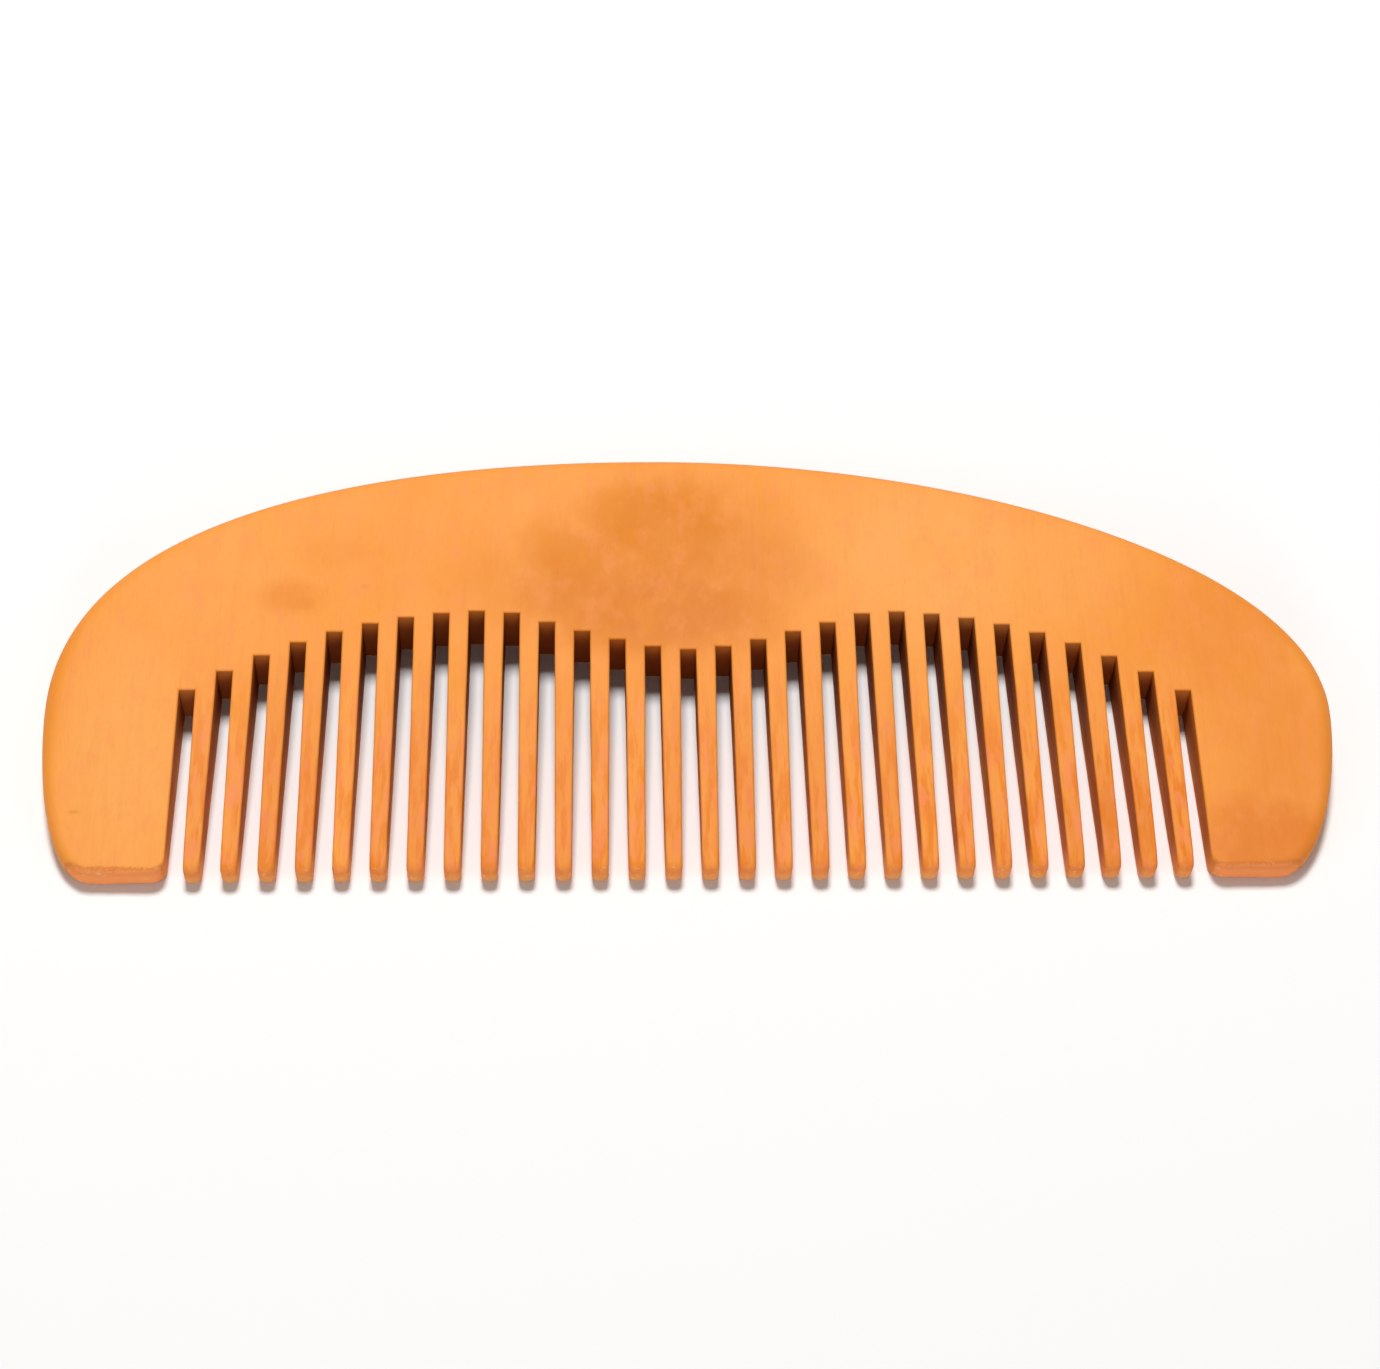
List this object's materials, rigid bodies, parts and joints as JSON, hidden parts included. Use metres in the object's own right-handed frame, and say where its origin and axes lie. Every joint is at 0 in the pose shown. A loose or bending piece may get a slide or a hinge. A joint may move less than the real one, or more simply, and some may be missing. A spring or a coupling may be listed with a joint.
{
  "type": "wide tooth comb",
  "caption": "One-piece wooden hair comb with an arched back, wide end guards and widely spaced teeth sawn to a double-arched line.",
  "frame": {"origin": "middle of the comb's bounding rectangle, on the flat rear face that the comb lies on", "axes": "+X along the comb's length, +Y from the tooth tips to the arched back edge, +Z out of the front face, away from the table"},
  "size_m": [0.1756, 0.0646, 0.0109],
  "materials": {
    "spine_wood": "satin varnish over fine-grained orange peach wood",
    "guard_wood": "satin varnish, rougher and darker on the end grain of the foot",
    "tooth_wood": "satin varnish along the grain, greyer end grain at the tips"
  },
  "bodies": {
    "root": {"spine": "spine_wood", "left_end_guard": "guard_wood", "right_end_guard": "guard_wood", "tooth_01": "tooth_wood", "tooth_02": "tooth_wood", "tooth_03": "tooth_wood", "tooth_04": "tooth_wood", "tooth_05": "tooth_wood", "tooth_06": "tooth_wood", "tooth_07": "tooth_wood", "tooth_08": "tooth_wood", "tooth_09": "tooth_wood", "tooth_10": "tooth_wood", "tooth_11": "tooth_wood", "tooth_12": "tooth_wood", "tooth_13": "tooth_wood", "tooth_14": "tooth_wood", "tooth_15": "tooth_wood", "tooth_16": "tooth_wood", "tooth_17": "tooth_wood", "tooth_18": "tooth_wood", "tooth_19": "tooth_wood", "tooth_20": "tooth_wood", "tooth_21": "tooth_wood", "tooth_22": "tooth_wood", "tooth_23": "tooth_wood", "tooth_24": "tooth_wood", "tooth_25": "tooth_wood", "tooth_26": "tooth_wood", "tooth_27": "tooth_wood", "tooth_28": "tooth_wood"}
  },
  "joints": []
}
